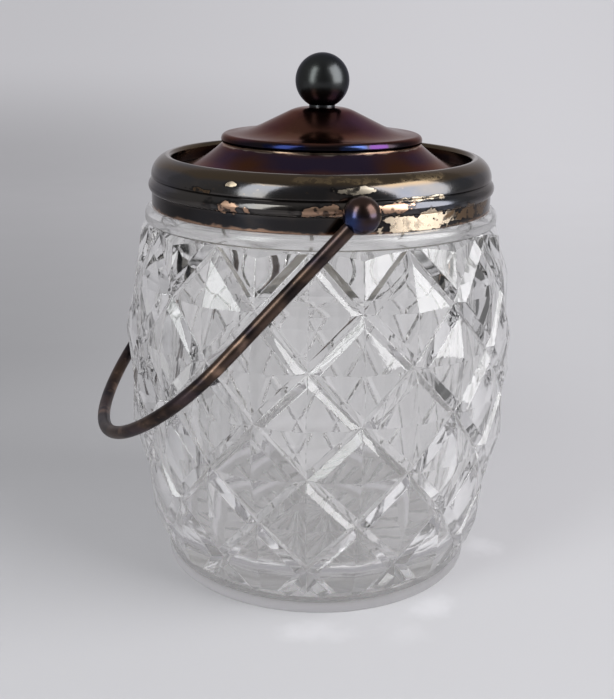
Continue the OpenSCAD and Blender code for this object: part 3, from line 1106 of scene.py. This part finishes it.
@dataclass
class Bail:
    """The bail: a round rod bent to a U with a flatter bow, and a ball on each end."""

    rod_r: float = 2.1
    reach: float = 110.5
    arm_len: float = 55.6
    bend_r: float = 45.0
    rest_angle: float = 46.5
    pivot_y: float = 63.8
    pivot_z: float = 133.0
    rod_start: float = 2.7
    rod_sides: int = 40
    arm_steps: int = 20
    sharp: float = 40.0

    def centre_line(self) -> list[Point3]:
        """Stations of the rod in the bail's own plane.

        Returns:
            Distance from the pivots, place along the pivot line and heading of each station.
        """
        bend_y = self.pivot_y - self.bend_r
        depth = self.reach - self.arm_len
        bow_r = (depth ** 2 + bend_y ** 2 - self.bend_r ** 2) / (2 * (depth - self.bend_r))
        half = math.degrees(math.atan2(bend_y, self.arm_len - self.reach + bow_r))
        step = (self.arm_len - self.rod_start) / self.arm_steps
        stations = [(self.rod_start + step * k, -self.pivot_y, 0.0) for k in range(self.arm_steps + 1)]
        bends = (
            ((self.arm_len, -bend_y), self.bend_r, -90, -half, 24),
            ((self.reach - bow_r, 0.0), bow_r, -half, half, 64),
            ((self.arm_len, bend_y), self.bend_r, half, 90, 24),
        )
        for centre, radius, start, end, steps in bends:
            for k, (x, y) in enumerate(arc(centre, radius, start, end, steps)):
                if k:
                    stations.append((x, y, start + (end - start) * k / steps + 90))
        stations.extend((x, self.pivot_y, 180.0) for x, _, _ in reversed(stations[:self.arm_steps]))
        return stations

    def at_rest(self) -> Matrix:
        """Turn from the bail's own plane to its rest pose."""
        turn = Matrix.Rotation(math.radians(180 - self.rest_angle), 4, "Y")
        return Matrix.Translation((0, 0, self.pivot_z * MM)) @ turn

    def rod(self) -> bpy.types.Object:
        """Sweep the rod.

        Returns:
            The rod in its rest pose.
        """
        points: list[Point3] = []
        stations = self.centre_line()
        for x, y, heading in stations:
            turn = math.radians(heading)
            for j in range(self.rod_sides):
                t = 2 * math.pi * j / self.rod_sides
                out = self.rod_r * math.cos(t)
                points.append((x - out * math.sin(turn), y + out * math.cos(turn), self.rod_r * math.sin(t)))
        sides = self.rod_sides
        faces: list[Sequence[int]] = [range(sides), range(len(points) - sides, len(points))]
        for k in range(len(stations) - 1):
            for j in range(sides):
                a, b = k * sides + j, k * sides + (j + 1) % sides
                faces.append((a, b, b + sides, a + sides))
        mesh = build_mesh("bent_rod", points, faces)
        mesh.transform(self.at_rest())
        smooth(mesh, self.sharp)
        return place("bent_rod", mesh)

    def build(self, finish: bpy.types.Material, ball_finish: bpy.types.Material) -> None:
        """Make the rod, and finish the balls.

        Args:
            finish: Material of the rod.
            ball_finish: Material of the balls.
        """
        rod = self.rod()
        dress(rod, finish)
        stand_in(rod, "bail", "bail_rod")
        for node in ("bail_ball_front", "bail_ball_rear"):
            keep(node, ball_finish)


@dataclass
class Softbox:
    """A tall soft lamp beside the camera."""

    name: str
    azimuth: float
    distance: float
    height: float
    size: Point2
    power: float
    colour: Colour = (1.0, 1.0, 1.0)

    def build(self, target: Vector) -> None:
        """Set the lamp up, facing a point.

        Args:
            target: Point that it faces.
        """
        lamp = bpy.data.lights.new(self.name, "AREA")
        lamp.shape = "RECTANGLE"
        lamp.size, lamp.size_y = self.size
        lamp.energy = self.power
        lamp.color = self.colour
        piece = bpy.data.objects.new(self.name, lamp)
        bpy.context.scene.collection.objects.link(piece)
        piece.location = around(self.azimuth, self.distance / MM, self.height / MM)
        piece.rotation_euler = (target - piece.location).to_track_quat("-Z", "Y").to_euler()
        piece.visible_transmission = False


@dataclass(frozen=True)
class PaintedGlint:
    """Painted light on the floor beside the foot: a glowing patch in place of light that the glass throws
    there.
    """

    azimuth: float
    radius: float
    half_w: float
    half_d: float
    strength: float
    rim: Point2 = (1.6, 0.1)

    def light(self, shader: Shader, uneven: Socket) -> Socket:
        """Strength of the painted light at each point of the floor.

        Args:
            shader: Material of the floor.
            uneven: Noise that makes the edge uneven.

        Returns:
            The strength on the spot, and 0 off it.
        """
        reach = shader.spot(self.azimuth, self.radius, 0, (self.half_w, self.half_d, self.half_d))
        share = shader.band(shader.math("ADD", reach, uneven), *self.rim)
        return shader.math("MULTIPLY", share, self.strength)


@dataclass
class Studio:
    """The pale sweep, the soft lamps and the camera at the photograph's angle."""

    heading: float = 9.83
    pitch: float = 17.62
    roll: float = 0.64
    camera_at: Point3 = (-63.9, -344.8, 184.8)
    focal_px: float = 1033.0
    frame_px: Point2 = (614, 699)
    sensor: float = 36.0
    clip_start: float = 0.01
    sweep_w: float = 5.0
    sweep_front: float = 1.4
    sweep_back: float = 0.9
    sweep_bend: float = 0.6
    sweep_h: float = 1.6
    floor_colour: Colour = (0.31, 0.307, 0.32)
    floor_mottle: float = 0.97
    mottle_scale: float = 3.0
    floor_rough: Point2 = (0.55, 0.7)
    rough_scale: float = 20.0
    floor_shine: float = 0.1
    glow_colour: Colour = (0.61, 0.603, 0.633)
    near_glow: float = 0.335
    far_glow: float = 0.75
    front_glow: float = 0.94
    front_edge: Point2 = (0.24, 0.5)
    # Painted light under the jar, seen only through the glass, where the floor lies in the jar's shadow.
    through_glow: float = 0.62
    through_edge: Point2 = (0.2, 0.05)
    # Painted shadow on the left of the sweep: its strength, its share higher up and through the glass, and
    # where it lies; dim_front darkens the front floor, whose glow shows instead.
    dim_left: float = 0.4
    dim_above: float = 0.38
    dim_front: float = 0.9
    dim_through: float = 0.2
    dim_from: float = 0.42
    dim_side: Point2 = (0.26, -0.3)
    dim_depth: Point2 = (-0.02, 0.26)
    dim_height: float = 0.13
    # Painted light: noise on the edges of the glints beside the foot.
    glint_scale: float = 130.0
    glint_uneven: float = 1.6
    room_colour: Colour = (0.98, 0.98, 1.0)
    room_light: Point2 = (0.35, 0.15)
    room_edge: Point2 = (-0.1, 0.75)
    surround: Point2 = (0.5, 0.85)
    surround_edge: Point2 = (0.05, 0.6)
    flag_azimuth: float = 98.0
    flag_light: float = 0.2
    flag_edge: Point2 = (0.84, 0.93)
    backdrop: float = 0.6
    bounces: int = 32
    glass_bounces: int = 28
    metal_bounces: int = 8
    aim_z: float = 90.0
    lamps: list[Softbox] = field(default_factory=lambda: [
        Softbox("softbox_left", -54, 0.8, 0.5, (0.3, 1.0), 6.2, (0.96, 1.0, 0.98)),
        Softbox("softbox_right", 58, 0.8, 0.5, (0.7, 1.0), 16.6),
    ])
    # Painted light: glowing patches on the floor where the glass throws light.
    glints: tuple[PaintedGlint, ...] = (
        PaintedGlint(-10.3, 65.1, 11.0, 5.0, 0.12),
        PaintedGlint(27.9, 62.7, 7.0, 6.0, 0.14),
        PaintedGlint(13.7, 70.4, 7.0, 6.0, 0.05),
        PaintedGlint(72.8, 62.0, 6.0, 6.0, 0.12),
    )

    def camera(self) -> None:
        """Set the camera up where the photograph was taken from."""
        heading, pitch, roll = (math.radians(v) for v in (self.heading, self.pitch, self.roll))
        ahead = Vector((
            math.sin(heading) * math.cos(pitch),
            math.cos(heading) * math.cos(pitch),
            -math.sin(pitch),
        ))
        level = Vector((math.cos(heading), -math.sin(heading), 0))
        above = level.cross(ahead)
        right = math.cos(roll) * level + math.sin(roll) * above
        up = -math.sin(roll) * level + math.cos(roll) * above
        lens = bpy.data.cameras.new("camera")
        lens.sensor_width = self.sensor
        lens.lens = self.focal_px / max(self.frame_px) * self.sensor
        lens.clip_start = self.clip_start
        piece = bpy.data.objects.new("camera", lens)
        bpy.context.scene.collection.objects.link(piece)
        turn = Matrix((right, up, -ahead)).transposed().to_4x4()
        piece.matrix_world = Matrix.Translation(Vector(self.camera_at) * MM) @ turn
        bpy.context.scene.camera = piece

    def left_shade(self, s: Shader, x: Socket, y: Socket, z: Socket) -> Socket:
        """Painted shade on the left of the sweep behind the jar, fainter higher up.

        Args:
            s: Material of the sweep.
            x: Place across the jar, in metres.
            y: Place behind it.
            z: Height.

        Returns:
            Share of the light that is taken away.
        """
        off_axis = s.math("SUBTRACT", x, s.math("MULTIPLY", y, math.tan(math.radians(self.heading))))
        off_axis = s.math("DIVIDE", off_axis, s.math("ADD", y, self.dim_from))
        painted_shade = s.math("MULTIPLY", s.band(off_axis, *self.dim_side), s.band(y, *self.dim_depth))
        up = s.band(z, 0.0, self.dim_height)
        return s.math("MULTIPLY", painted_shade, s.span(up, self.dim_left, self.dim_left * self.dim_above))

    def sweep_finish(self) -> bpy.types.Material:
        """Finish of the sweep, whose pale glow is seen but lights nothing else, with painted light and shade
        on it.

        Returns:
            The finished material.
        """
        s = Shader("pale_sweep")
        rays = s.node("ShaderNodeLightPath", {}).outputs
        camera, through = rays["Is Camera Ray"], rays["Is Transmission Ray"]
        seen = s.math("MAXIMUM", s.math("MAXIMUM", camera, rays["Is Glossy Ray"]), through)
        x, y, z = s.node("ShaderNodeSeparateXYZ", {0: s.place}).outputs
        front = s.band(s.math("SUBTRACT", s.math("ABSOLUTE", x), y), *self.front_edge)
        far = s.math("MAXIMUM", s.band(y, 0.0, self.sweep_back), front)
        glow = s.math("MULTIPLY", s.span(far, self.near_glow, self.far_glow), seen)
        ahead = s.math("MULTIPLY", front, self.front_glow)
        glow = s.math("MAXIMUM", glow, s.math("MULTIPLY", camera, ahead))
        # Painted light: the glints beside the foot, seen by the camera only.
        uneven = s.sway(self.glint_scale, 2, self.glint_uneven)
        for glint in self.glints:
            glow = s.math("ADD", glow, s.math("MULTIPLY", camera, glint.light(s, uneven)))
        # Painted light under the jar for rays through the glass, in place of the jar's shadow there.
        under = s.math("MULTIPLY", s.band(s.length(s.place), *self.through_edge), self.through_glow)
        glow = s.math("MAXIMUM", glow, s.math("MULTIPLY", through, under))
        # Painted shadow on the left, weaker through the glass.
        painted_shade = self.left_shade(s, x, y, z)
        painted_shade_kept = s.math("MULTIPLY", painted_shade, s.span(through, 1.0, self.dim_through))
        mottled = Vector(self.floor_colour) * self.floor_mottle
        floor = s.blend(s.noise(self.mottle_scale), self.floor_colour, mottled)
        # Base darkened under the painted shadow, and at the front, where the glow stands in for its lit
        # colour.
        dark = s.math("MAXIMUM", painted_shade, s.math("MULTIPLY", front, self.dim_front))
        s.set(
            Base_Color=s.blend(dark, floor, (0.0, 0.0, 0.0)),
            Roughness=s.span(s.noise(self.rough_scale), *self.floor_rough),
            Specular_IOR_Level=self.floor_shine,
            Emission_Color=(*self.glow_colour, 1.0),
            Emission_Strength=s.math("MULTIPLY", glow, s.math("SUBTRACT", 1.0, painted_shade_kept)),
        )
        return s.material

    def sweep(self) -> None:
        """Lay the pale sweep that is floor and backdrop."""
        line = [(-self.sweep_front, 0.0)]
        line += arc((self.sweep_back, self.sweep_bend), self.sweep_bend, -90, 0, 32)
        line.append((self.sweep_back + self.sweep_bend, self.sweep_h))
        half = self.sweep_w / 2
        points = [(side * half / MM, y / MM, z / MM) for y, z in line for side in (-1, 1)]
        faces = [(2 * k, 2 * k + 1, 2 * k + 3, 2 * k + 2) for k in range(len(line) - 1)]
        mesh = build_mesh("sweep", points, faces)
        mesh.transform(Matrix.Rotation(math.radians(-self.heading), 4, "Z"))
        smooth(mesh, SHARP)
        piece = place("sweep", mesh)
        dress(piece, self.sweep_finish())

    def world(self) -> None:
        """Give the room a light that falls off behind the camera, and a pale tent that the glass shows."""
        world = bpy.data.worlds.new("room")
        world.use_nodes = True
        sky = Graph(world.node_tree, "Generated")
        behind = sky.along(Vector((*self.camera_at[:2], 0)).normalized())
        room = sky.band(behind, *self.room_edge, *self.room_light)
        tent = sky.band(sky.height(), *self.surround_edge, *self.surround)
        beside = sky.along(around(self.flag_azimuth, 1 / MM, 0))
        flag = sky.band(beside, *self.flag_edge, 1.0, self.flag_light)
        rays = sky.node("ShaderNodeLightPath", {}).outputs
        light = sky.mix(rays["Is Transmission Ray"], room, sky.math("MULTIPLY", tent, flag))
        background = sky.tree.nodes["Background"].inputs
        sky.feed(background["Strength"], sky.mix(rays["Is Camera Ray"], light, self.backdrop))
        sky.feed(background["Color"], (*self.room_colour, 1.0))
        bpy.context.scene.world = world

    def build(self) -> None:
        """Set up the whole studio."""
        scene = bpy.context.scene
        scene.view_settings.view_transform = "Standard"
        scene.cycles.max_bounces = self.bounces
        scene.cycles.transmission_bounces = self.glass_bounces
        scene.cycles.glossy_bounces = self.metal_bounces
        self.camera()
        self.sweep()
        self.world()
        for lamp in self.lamps:
            lamp.build(around(0, 0, self.aim_z))


GOLD: Colour = (0.7, 0.58, 0.44)
OCHRE: Colour = (0.17, 0.125, 0.075)
COPPER: Colour = (0.42, 0.27, 0.19)
BROWN: Colour = (0.12, 0.08, 0.05)
BRONZE: Colour = (0.12, 0.085, 0.05)
RUST: Colour = (0.085, 0.034, 0.018)
NAVY: Colour = (0.008, 0.012, 0.045)
BLUE: Colour = (0.03, 0.046, 0.125)
VIOLET: Colour = (0.045, 0.018, 0.07)
# Pale line on the collar's lip: worn silver with a painted highlight.
WORN_SILVER_AND_SHEEN: Colour = (0.6, 0.57, 0.53)
# Painted highlight: the pale line at the lid's waist under the rim.
PAINTED_HIGHLIGHT_CREAM: Colour = (0.5, 0.43, 0.36)
SAND: Colour = (0.4, 0.35, 0.28)
INK: Colour = (0.012, 0.013, 0.018)

COLLAR_WEAR = (
    Patch(-38, 55.5, 139.3, 2.4, 0.8, GOLD, stained=0.3),
    Patch(-6, 54.0, 141.4, 15.0, 0.9, OCHRE, 0.3, soft=0.35),
    Patch(24, 54.0, 141.4, 9.0, 1.0, OCHRE, 0.3, soft=0.35),
    Patch(200, 54.0, 141.4, 16.0, 0.9, OCHRE, 0.3, soft=0.35),
    Patch(1, 55.8, 138.6, 6.0, 0.8, SAND, 0.3, stained=0.9),
    Patch(22, 57.2, 135.7, 9.0, 0.6, SAND, 0.3, stained=0.9),
    Patch(-50, 56.8, 136.8, 4.0, 0.7, BROWN, 0.3, stained=0.9),
    Patch(-39, 57.5, 132.6, 6.0, 1.5, COPPER),
    Patch(-10, 57.6, 133.0, 6.0, 1.4, COPPER),
    Patch(12, 57.6, 133.4, 5.0, 1.4, COPPER),
    Patch(22, 57.0, 128.4, 14.0, 3.0, GOLD, 0.28, stained=0.3),
    Patch(47, 57.0, 129.6, 11.0, 2.4, BROWN),
    Patch(110, 57.2, 130.0, 12.0, 2.0, COPPER),
    Patch(165, 57.4, 132.0, 8.0, 1.8, GOLD),
    Patch(215, 57.0, 129.0, 14.0, 2.4, BROWN),
    Patch(262, 57.0, 128.0, 10.0, 1.8, COPPER),
)

LID_TINTS = (
    Patch(28, 38.0, 142.0, 12.0, 6.0, RUST, 0.24, soft=0.9, stained=0.0),
    Patch(-48, 38.0, 142.0, 12.0, 6.0, RUST, 0.24, soft=0.9, stained=0.0),
    Patch(160, 38.0, 142.0, 16.0, 6.0, RUST, 0.24, soft=0.9, stained=0.0),
    Patch(-31, 33.2, 148.0, 8.0, 1.3, NAVY, 0.18, soft=0.5, stained=0.0),
    Patch(7, 33.2, 148.0, 6.0, 1.3, BLUE, 0.18, soft=0.5, stained=0.0),
    Patch(21, 33.2, 148.0, 4.0, 1.3, VIOLET, 0.18, soft=0.5, stained=0.0),
    Patch(120, 33.2, 148.0, 9.0, 1.3, NAVY, 0.18, soft=0.5, stained=0.0),
    Patch(215, 33.2, 148.0, 10.0, 1.3, VIOLET, 0.18, soft=0.5, stained=0.0),
)


def main() -> None:
    """Build and dress every piece, then the studio."""
    logging.basicConfig(level=logging.INFO, format="%(name)s: %(message)s")
    collar_plate = TarnishedPlate(
        "collar_plate", (0.056, 0.058, 0.063), (0.082, 0.075, 0.07), (0.145, 0.12, 0.1), (0.055, 0.065, 0.1),
        rough=(0.1, 0.19),
        bands=(
            # The band at 142.75 is a painted highlight along the top of the lip roll, partly worn silver.
            Band(141.4, 1.7, BRONZE), Band(142.75, 0.14, WORN_SILVER_AND_SHEEN),
            Band(128.6, 2.4, INK, 0.6), Band(126.0, 0.9, COPPER, 0.9, torn=True),
        ),
        patches=COLLAR_WEAR,
    ).material()
    lid_plate = TarnishedPlate(
        "lid_plate", (0.065, 0.024, 0.026), (0.11, 0.048, 0.034), (0.13, 0.075, 0.05), (0.035, 0.03, 0.11),
        tint_share=0.5, pits=0.0, edge=(0.72, 0.58, 0.55),
        bands=(
            Band(147.6, 1.6, INK, 0.9), Band(143.6, 2.6, (0.018, 0.022, 0.06), 0.75),
            # The band at 146.35 is a painted highlight: a pale cream line at the waist under the rim, where
            # light catches the junction.
            Band(146.35, 0.4, PAINTED_HIGHLIGHT_CREAM, 0.75, torn=True),
        ),
        patches=LID_TINTS,
    ).material()
    silver_plate = TarnishedPlate(
        "silver_plate", (0.72, 0.7, 0.66), (0.82, 0.8, 0.77), (0.88, 0.87, 0.84), (0.74, 0.7, 0.62),
        rough=(0.3, 0.45), pits=0.1,
    ).material()
    finial_plate = TarnishedPlate(
        "finial_plate",
        (0.039, 0.041, 0.042), (0.055, 0.057, 0.056), (0.071, 0.073, 0.07), (0.041, 0.045, 0.066),
        rough=(0.24, 0.32), pits=0.0, edge=(0.6, 0.6, 0.64),
    ).material()
    bail_plate = TarnishedPlate(
        "bail_plate", (0.024, 0.019, 0.019), (0.085, 0.057, 0.044), (0.26, 0.17, 0.125), (0.03, 0.028, 0.06),
        cloud=60, rough=(0.26, 0.42),
    ).material()
    ball_plate = TarnishedPlate(
        "ball_plate", (0.04, 0.026, 0.023), (0.07, 0.042, 0.035), (0.11, 0.072, 0.06), (0.024, 0.036, 0.1),
        cloud=60, rough=(0.2, 0.3), tint_share=0.7,
        patches=(Patch(-3.2, 67.0, 131.6, 4.5, 5.0, BLUE, 0.22, soft=0.8, stained=0.0),),
    ).material()
    brass = PlainSolid(
        "turned_brass", (0.5, 0.38, 0.2), (0.34, 0.25, 0.14), 1.0, (0.25, 0.4), 120,
    ).material()
    plaster = PlainSolid(
        "dry_plaster", (0.93, 0.91, 0.87), (0.85, 0.83, 0.78), 0.0, (0.8, 0.95), 150,
    ).material()
    cut_glass = ClearGlass("clear_cut_glass").material()
    # The hollow is rougher and painted a little darker as shade towards its floor.
    inner_glass = ClearGlass(
        "clear_inner_glass", rough=(0.02, 0.07), wear_and_shade_to=30.0, worn_rough=0.28, foot=(0.95, 0.948, 0.94),
    ).material()
    GlassJar().build(cut_glass, inner_glass)
    Collar().build(collar_plate, silver_plate)
    Lid().build(lid_plate, silver_plate)
    Bail().build(bail_plate, ball_plate)
    keep("plaster_bed", plaster)
    keep("lid_ring", silver_plate)
    keep("finial_ball", finial_plate)
    for node in ("pivot_stud_front", "pivot_stud_rear", "stud_burr_front", "stud_burr_rear"):
        keep(node, brass)
    for node in ("finial_stud", "finial_washer", "finial_nut"):
        keep(node, brass)
    Studio().build()


if __name__ == "__main__":
    main()
